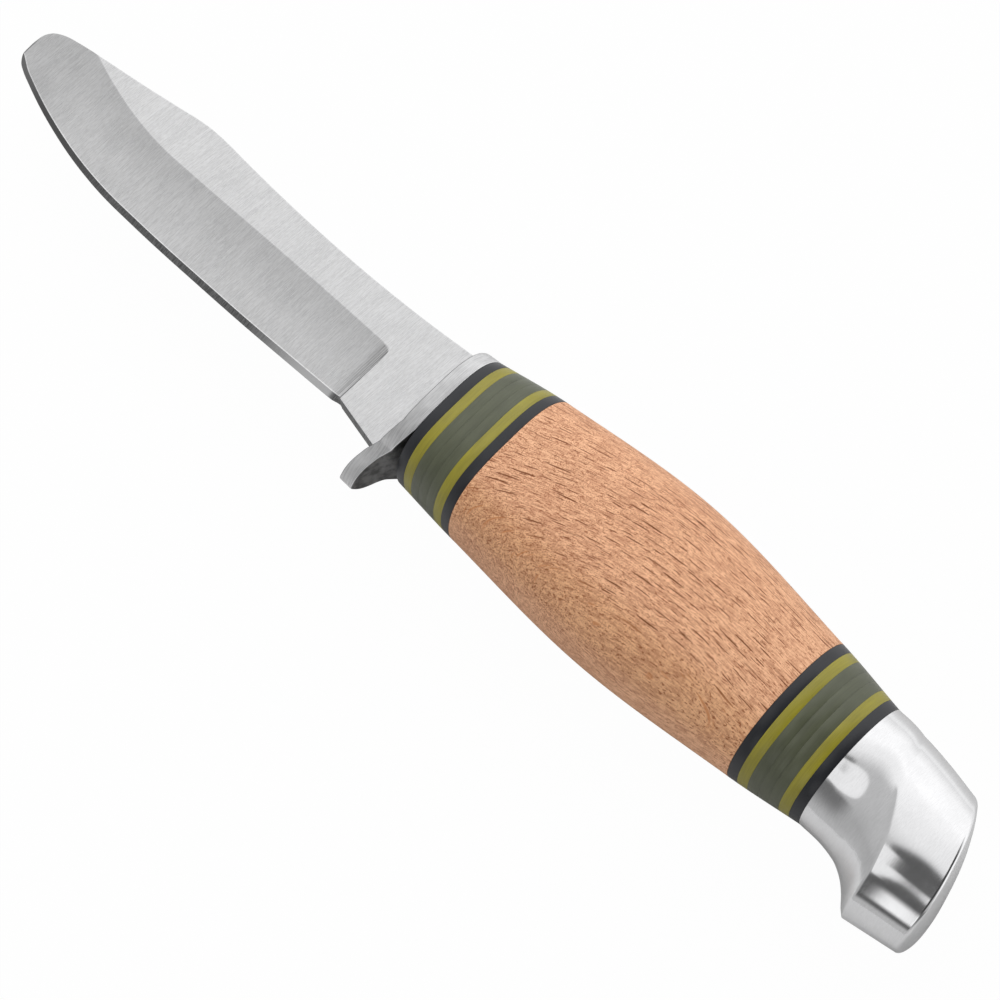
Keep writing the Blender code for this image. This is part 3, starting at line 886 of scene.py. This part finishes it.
def bevel_steel(steel, colour, across, place):
    """The bevel with painted shade and light: paler towards the edge, dimmer at the tip, a painted dark band
    with wheel marks at the plunge, and painted shade on the blunt tip's rim.
    """
    x, y, z = place
    sunk = BLADE_STOCK / 2 - abs(z)
    ground = sunk.within(0.0, 0.03)
    # painted shade and light on the bevel: darker at the grind line, paler towards the edge, and darker
    # towards the tip
    tone = sunk.within(0.0, 1.1).blend(grey(0.92), grey(1.07))
    tone = x.within(*BEVEL_SHADE_AT_TIP).blend(tone, grey(0.86))
    colour = ground.blend(grey(1.0), tone).vector("MULTIPLY", colour)

    plunge = -PLUNGE_FRACTION * BLADE_LENGTH
    # painted shade: a dark band along the plunge's shoulder, broken by wheel marks
    shoulder = x.band((plunge - 3.2, plunge), (plunge + 0.3, plunge + 0.1))
    shoulder = shoulder * y.within(5.0, 3.0) * ground
    wheel_marks = across.noise((0.26, 40.0, 40.0), 1.0).within(0.4, 0.6)
    colour = (shoulder * shoulder * (0.25 + 0.75 * wheel_marks)).blend(colour, tinted(steel, 0.17))
    # painted shade on the rim of the blunt tip
    blunt_tip_shade = x.within(0.3 - BLADE_LENGTH, 0.1 - BLADE_LENGTH)
    return (0.75 * blunt_tip_shade).blend(colour, tinted(steel, 0.2))


def edge_steel(finish, steel, colour, x):
    """The sharpening bevel, known by its slope, in painted shade: dark with coarse streaks, deeper along the
    belly and lighter near the tip, with painted shade on the tip's rim; near the heel the painted shade
    gives way to the steel's own colour.
    """
    facing = finish.facing()
    flat = abs(facing[2])
    # painted shade on the rim round the tip
    tip_rim_shade = facing[0].within(-0.3, -0.6) * x.within(*EDGE_ROUNDS_TIP) * flat.within(0.2, 0.4)
    edge_shade_mask = facing[1].within(-0.05, -0.2).at_least(tip_rim_shade)
    streaks = finish.place.noise((0.12, 1.2, 1.2), 2.0, 0.6).within(0.3, 0.7)
    # painted shade on the sharpening bevel and the faces turned down, deeper along the belly and lighter
    # towards the tip
    edge = streaks.blend(tinted(steel, 0.16), tinted(steel, 0.36))
    edge = x.within(*EDGE_SHADE_DEEPENS).blend(edge, tinted(steel, 0.2))
    edge = x.within(*EDGE_SHADE_LIFTS).blend(edge, tinted(steel, 0.34))
    # near the heel the painted shade gives way to the steel's own colour
    edge = x.band(*EDGE_UNSHADED).blend(edge, tinted(steel, 0.95))
    return (flat.within(0.975, 0.955) * edge_shade_mask).blend(colour, edge)


def brushed_aluminium(colour):
    """Brushed aluminium with painted shade on its front corner, a painted highlight on its rear corner, and
    painted shade on its rear face.
    """
    finish = Finish("brushed_aluminium", metallic=1.0)
    lines = finish.place.noise((0.12, 3.0, 3.0), 3.0, 0.65)
    blotch = finish.place.noise((1.2, 1.6, 1.6), 3.0)
    tone = (0.7 * lines + 0.3 * blotch).within(0.34, 0.66)
    bright = tone.blend(tinted(colour, 0.82), tinted(colour, 1.12))
    # painted shade for the rear face
    rear_face_shade = blotch.within(0.35, 0.65).blend(tinted(colour, 0.2), tinted(colour, 0.45))
    facing = finish.facing()[0]
    # painted highlight on the rear corner
    rear_corner_highlight = facing.within(0.08, 0.25)
    bright = rear_corner_highlight.blend(bright, tinted(colour, 1.25))
    face = facing.within(0.5, 0.75).blend(bright, rear_face_shade)
    # painted shade on the front corner
    front_corner_shade = facing.band((-0.3, -0.55), (-0.98, -0.93))
    finish.feed("Base Color", front_corner_shade.blend(face, tinted(colour, 0.3)))
    finish.feed("Roughness", 0.42 + 0.12 * lines + 0.06 * blotch)
    finish.relief(lines, 0.003)
    return finish.material


def polished_aluminium(colour):
    """Buffed aluminium with a faint haze and buffing lines."""
    finish = Finish("polished_aluminium", metallic=1.0)
    haze = finish.place.noise((3.0, 3.0, 3.0), 3.0)
    buffing = finish.place.noise((0.11, 0.9, 0.9), 3.0, 0.6)
    tone = (0.4 * haze + 0.6 * buffing).within(0.36, 0.64)
    finish.feed("Base Color", tone.blend(tinted(colour, 0.95), tinted(colour, 1.03)))
    finish.feed("Roughness", 0.05 + 0.05 * haze + 0.04 * buffing)
    finish.relief(buffing, 0.0012)
    return finish.material


def beech_grain(place):
    """Place in the wood: along the grain, which rises from the guard, across the rays, and along them."""
    x, y, z = place.split()
    before = GRAIN_STRAIGHT_AT - x
    wander = place.noise((9.0, 6.0, 6.0), 2.0)
    rise = y + GRAIN_RISE * before * before + 0.5 * wander
    return x.join(x, RAY_FLAT[1] * rise + RAY_FLAT[2] * z, RAY_FLAT[2] * rise - RAY_FLAT[1] * z)


def ray_mask(grain, cell, reach, thinning, seed):
    """Lens-shaped rays, one to a cell of the grain, and a chance for each ray.

    Their reach along each axis, in millimetres, differs from ray to ray. Thinning lessens it across them.
    """
    x, y, z = grain.vector("DIVIDE", cell).split()
    place = x.join(x + 0.38 * y + 0.27 * z, y, z).vector("ADD", (seed, seed, seed))
    sockets = {"Vector": place, "Scale": 1.0, "Randomness": 0.8}
    nearest = place.node("ShaderNodeTexVoronoi", None, sockets).socket.node
    centre = Wire(place.tree, nearest.outputs["Position"])
    chance = Wire(place.tree, nearest.outputs["Color"]).split()
    offset = place.vector("SUBTRACT", centre).vector("MULTIPLY", cell).vector("DIVIDE", reach)
    offset = offset.vector("MULTIPLY", x.join(1.0, thinning, 1.0))
    size = 0.5 + 0.5 * chance[0]
    away = offset.node("ShaderNodeVectorMath", {"operation": "LENGTH"}, {0: offset}, 1)
    return (away / size).within(1.0, 0.8), chance[1]


def beech_rays(grain, facing):
    """Long and short rays, fading out where the surface turns down, and how flat the surface shows them."""
    flat = abs(RAY_FLAT[1] * facing[1] + RAY_FLAT[2] * facing[2])
    thinning = 1.0 + 0.6 * flat.within(0.65, 0.95)
    long, long_chance = ray_mask(grain, (4.0, 0.8, 5.0), (2.1, 0.092, 5.0), thinning, 3.0)
    short, short_chance = ray_mask(grain, (2.3, 0.5, 4.0), (1.0, 0.07, 3.4), thinning, 11.0)
    long = long * long_chance.within(0.0, 0.6)
    short = short * short_chance.within(0.4, 0.95)
    rays = long.at_least(short) * facing[1].within(-0.82, -0.7)
    return rays, flat.within(0.86, 0.98)


def beech(colours):
    """Beech turned to a barrel: fibres, pores, marks of turning, and rays that are dark where cut across."""
    finish = Finish("beech", specular_ior_level=0.55)
    grain = beech_grain(finish.place)
    facing = finish.facing()

    streaks = grain.noise((4.0, 0.35, 1.0), 4.0, 0.65)
    fibres = grain.noise((1.8, 0.12, 0.3), 2.0, 0.6)
    turning = finish.place.noise((0.13, 0.6, 0.6), 1.0, 0.5)
    cloudy = finish.place.noise((7.0, 5.0, 5.0), 3.0)
    depth = 0.22 * streaks + 0.52 * fibres + 0.18 * turning + 0.08 * cloudy
    colour = depth.within(0.4, 0.61).blend(colours.beech_pale, colours.beech_deep)

    dashes = grain.noise((0.6, 0.11, 0.25), 1.0, 0.5).within(0.6, 0.68)
    near_guard = finish.place.split()[0].within(60.0, 26.0)
    dots = finish.place.noise((0.15, 0.12, 0.15), 0.0).within(0.61, 0.69) * near_guard
    pores = dashes.at_least(dots)
    colour = (0.75 * pores).blend(colour, tinted(colours.fleck, 1.5))
    # painted shade: darker and warmer on the faces that turn down, short of the very bottom
    underside_shade = facing[1].band((-0.15, -0.55), (-0.98, -0.8))
    colour = underside_shade.blend(grey(1.0), (0.95, 0.93, 0.84)).vector("MULTIPLY", colour)

    rays, flat = beech_rays(grain, facing)
    ray_colour = flat.blend(colours.fleck, colours.fleck_flat)
    finish.feed("Base Color", (0.9 * rays - 0.1 * flat * rays).blend(colour, ray_colour))
    finish.feed("Roughness", 0.52 + 0.12 * fibres + 0.1 * rays)
    finish.relief(1.0 - 0.6 * rays - 0.35 * pores + 0.25 * fibres + 0.15 * turning, 0.03)
    return finish.material


def fibre(name, colour):
    """Pressed fibre, sanded round the handle and lightly polished."""
    finish = Finish(name, specular_ior_level=0.65)
    sanding = finish.place.noise((0.08, 4.0, 4.0), 3.0, 0.6)
    cloudy = finish.place.noise((1.5, 4.0, 4.0), 2.0)
    tone = (0.6 * sanding + 0.4 * cloudy).within(0.3, 0.7)
    finish.feed("Base Color", tone.blend(tinted(colour, 0.82), tinted(colour, 1.2)))
    finish.feed("Roughness", 0.26 + 0.14 * sanding)
    finish.relief(sanding, 0.004)
    return finish.material


class KnifeStep:
    """What the knife's operators share"""

    bl_options = {"REGISTER", "UNDO"}


class KNIFE_OT_stage(KnifeStep, Operator):
    """Set the table, the light and the camera"""

    bl_idname = "knife.stage"
    bl_label = "Stage"

    def execute(self, context):
        stage = context.scene.knife_stage
        self.table(stage)
        self.light(context, stage)
        self.camera(context, stage)
        context.scene.view_settings.view_transform = "Standard"
        return {"FINISHED"}

    def table(self, stage):
        """A table top that the camera sees white and metal mirrors grey, paling behind the knife."""
        bm = bmesh.new()
        bmesh.ops.create_grid(bm, x_segments=1, y_segments=1, size=TABLE_REACH * MM)
        mesh = to_mesh("table", bm)
        finish = Finish("table", roughness=0.9, specular_ior_level=0.0)
        mottle = finish.place.noise((400.0, 400.0, 400.0), 2.0)
        finish.feed("Base Color", mottle.blend(tinted(stage.floor, 0.99), stage.floor))
        tree = finish.tree
        rays = tree.nodes.new("ShaderNodeLightPath").outputs
        mirrored = Wire(tree, rays["Is Glossy Ray"]) + Wire(tree, rays["Is Transmission Ray"])
        white = finish.wire.node("ShaderNodeEmission", None, {"Color": rgba(grey(1.0)), "Strength": 1.0})
        behind = finish.place.split()[1].within(*TABLE_PALES)
        mirror = stage.mirrored_white + stage.white_behind * behind
        share = Wire(tree, rays["Is Camera Ray"]) * stage.seen_white + mirrored * mirror
        lit = Wire(tree, finish.shader.outputs[0])
        both = finish.wire.node("ShaderNodeMixShader", None, {0: share, 1: lit, 2: white})
        tree.links.new(both.socket, tree.nodes["Material Output"].inputs["Surface"])
        mesh.materials.append(finish.material)
        table = add_object("table", mesh)
        table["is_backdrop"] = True

    def light(self, context, stage):
        """A light tent all round, which the camera sees as white, and two soft lamps."""
        world = bpy.data.worlds.new("tent")
        context.scene.world = world
        world.use_nodes = True
        tree = world.node_tree
        seen = Wire(tree, tree.nodes.new("ShaderNodeLightPath").outputs["Is Camera Ray"])
        background = tree.nodes["Background"]
        background.inputs["Strength"].default_value = stage.tent
        tree.links.new(seen.blend(self.tent(Wire(tree)), grey(1.0)).socket, background.inputs["Color"])
        self.lamp("soft_lamp", Vector(SOFT_LAMP) * MM, stage.lamp)
        self.lamp("fill_lamp", Vector(FILL_LAMP) * MM, stage.fill)

    def tent(self, wire):
        """The tent by direction: its wall, the opening above the pommel, and what shows round that."""
        x, y, z = wire.node("ShaderNodeTexCoord", output="Generated").split()
        turn = z.math("ARCTAN2", z, y) / math.pi
        stops = [(place, rgba(grey(level))) for place, level in TENT_WALL]
        wall = wire.node("ShaderNodeValToRGB", {"stops": stops}, {"Fac": turn})
        dusk = turn.band((0.66, 0.7), (0.95, 0.74)) * x.within(-0.5, -0.2)
        tent = dusk.blend(wall, grey(0.17))

        rear_border = (0.3, 0.2)
        opening = (turn + 0.4 * x).within(0.435, 0.46) * turn.within(0.95, 0.9)
        opening = opening * x.band((-0.07, -0.045), rear_border)
        tent = opening.blend(tent, grey(0.11))

        across = (turn - 0.58) / 0.088
        along = (-0.05 - x).at_least(0.0) / 0.3
        window = (across * across + along * along).within(1.12, 0.85) * x.within(0.02, -0.02)
        slit = turn.within(0.555, 0.575) * (turn + 0.8 * x).within(0.665, 0.64)
        slit = slit * x.band((-0.04, -0.02), (0.068, 0.055))
        tent = window.at_least(slit).blend(tent, grey(0.9))

        panel = turn.band((0.69, 0.76), (0.89, 0.84)) * x.band((0.03, 0.072), rear_border)
        tent = panel.blend(tent, grey(1.1))
        post = turn.band((0.2, 0.34), (0.75, 0.65)) * x.band((0.09, 0.14), (0.62, 0.5))
        return post.blend(tent, grey(0.06))

    def lamp(self, name, away, power):
        """A soft lamp for wood and fibre. It is kept out of reflections, which show the tent."""
        data = bpy.data.lights.new(name, "AREA")
        data.shape = "SQUARE"
        data.size = LAMP_SIZE * MM
        data.energy = power
        lamp = add_object(name, data)
        lamp.location = KNIFE_ORIGIN + away
        lamp.rotation_mode = "QUATERNION"
        lamp.rotation_quaternion = away.to_track_quat("Z", "Y")
        lamp.visible_glossy = False
        lamp.visible_camera = False

    def camera(self, context, stage):
        data = bpy.data.cameras.new("camera")
        data.lens = stage.lens
        data.sensor_width = SENSOR_WIDTH
        camera = add_object("camera", data)
        back = Vector(CAMERA_BACK).normalized()
        right = Vector(CAMERA_UP).cross(back).normalized()
        up = back.cross(right)
        place = KNIFE_ORIGIN + (Vector(CAMERA_AIM) + back * CAMERA_DISTANCE) * MM
        turn = Matrix((right, up, back)).transposed().to_4x4()
        camera.matrix_world = Matrix.Translation(place) @ turn
        context.scene.camera = camera


class KNIFE_OT_blade(KnifeStep, Operator):
    """Grind the blade out of its plate"""

    bl_idname = "knife.blade"
    bl_label = "Blade"

    def execute(self, context):
        sizes = context.scene.knife_sizes
        steel = satin_steel(context.scene.knife_colours.steel)
        piece = make_piece("blade_steel", capped(skin(blade_rings(sizes.spine_rounding / MM))), steel)
        wedges = capped(skin(grind_rings(sizes)))
        one_side = wedges.verts[:] + wedges.edges[:] + wedges.faces[:]
        bmesh.ops.mirror(wedges, geom=one_side, axis="Z", merge_dist=-1.0)
        cut(piece, wedges)
        stand_for(piece, "blade", BLADE_SHARP)
        return {"FINISHED"}


class KNIFE_OT_guard(KnifeStep, Operator):
    """Bend the guard's quillon and fit the plate to the ricasso"""

    bl_idname = "knife.guard"
    bl_label = "Guard"

    def execute(self, context):
        brushed = brushed_aluminium(context.scene.knife_colours.guard)
        piece = make_piece("guard_plate", skin(guard_rings(), looped=True), brushed)
        cut(piece, ricasso_pocket())
        stand_for(piece, "guard", GUARD_SHARP)
        return {"FINISHED"}


class KNIFE_OT_discs(KnifeStep, Operator):
    """Stack the fibre discs before and behind the grip"""

    bl_idname = "knife.discs"
    bl_label = "Discs"

    def execute(self, context):
        colours = context.scene.knife_colours
        rounding = context.scene.knife_sizes.disc_rounding / MM
        finishes = {key: fibre(f"{key}_fibre", getattr(colours, key)) for key in sorted(set(STACK))}
        closing = GLUE_LINE / 2 - JOINT
        for side in ("front", "rear"):
            for i, key in enumerate(STACK):
                node = f"spacer_{side}_{i + 1}_{key}"
                start, end = along_knife(node)
                start -= closing if i > 0 else 0.0
                end += closing if i < len(STACK) - 1 else 0.0
                rings = sleeve_rings(start, end, rounding)
                piece = make_piece(f"disc_{side}_{i + 1}_{key}", skin(rings, looped=True), finishes[key])
                stand_for(piece, node, HANDLE_SHARP)
        return {"FINISHED"}


class KNIFE_OT_grip(KnifeStep, Operator):
    """Turn the beech grip"""

    bl_idname = "knife.grip"
    bl_label = "Grip"

    def execute(self, context):
        start, end = along_knife("grip")
        rounding = context.scene.knife_sizes.disc_rounding / MM
        rings = sleeve_rings(start, end, rounding, GRIP_STATIONS)
        piece = make_piece("beech_grip", skin(rings, looped=True), beech(context.scene.knife_colours))
        stand_for(piece, "grip", HANDLE_SHARP)
        return {"FINISHED"}


class KNIFE_OT_pommel(KnifeStep, Operator):
    """Form the hooked pommel"""

    bl_idname = "knife.pommel"
    bl_label = "Pommel"

    def execute(self, context):
        polished = polished_aluminium(context.scene.knife_colours.pommel)
        piece = make_piece("hooked_pommel", skin(pommel_rings(), bridged=(0, -1)), polished)
        stand_for(piece, "pommel", HANDLE_SHARP)
        return {"FINISHED"}


STEPS = (KNIFE_OT_stage, KNIFE_OT_blade, KNIFE_OT_guard, KNIFE_OT_discs, KNIFE_OT_grip, KNIFE_OT_pommel)


class KNIFE_PT_sidebar(Panel):
    """The knife's sizes, colours and steps"""

    bl_label = "Scout Knife"
    bl_space_type = "VIEW_3D"
    bl_region_type = "UI"
    bl_category = "Knife"

    def draw(self, context):
        for group in (context.scene.knife_sizes, context.scene.knife_colours, context.scene.knife_stage):
            column = self.layout.column(align=True)
            for key in group.__annotations__:
                column.prop(group, key)
        for step in STEPS:
            self.layout.operator(step.bl_idname)


GROUPS = {"knife_sizes": KnifeSizes, "knife_colours": KnifeColours, "knife_stage": KnifeStage}
CLASSES = (*GROUPS.values(), *STEPS, KNIFE_PT_sidebar)


def register():
    for cls in CLASSES:
        bpy.utils.register_class(cls)
    for name, group in GROUPS.items():
        setattr(bpy.types.Scene, name, PointerProperty(type=group))


def unregister():
    for name in GROUPS:
        delattr(bpy.types.Scene, name)
    for cls in reversed(CLASSES):
        bpy.utils.unregister_class(cls)


def corners(box):
    return [list(corner) for corner in box]


def main():
    register()
    bpy.ops.knife.stage()
    bpy.ops.knife.blade()
    bpy.ops.knife.guard()
    bpy.ops.knife.discs()
    bpy.ops.knife.grip()
    bpy.ops.knife.pommel()
    {"cad": corners(CAD_BOX), "visual": corners(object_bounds())}


if __name__ == "__main__":
    main()
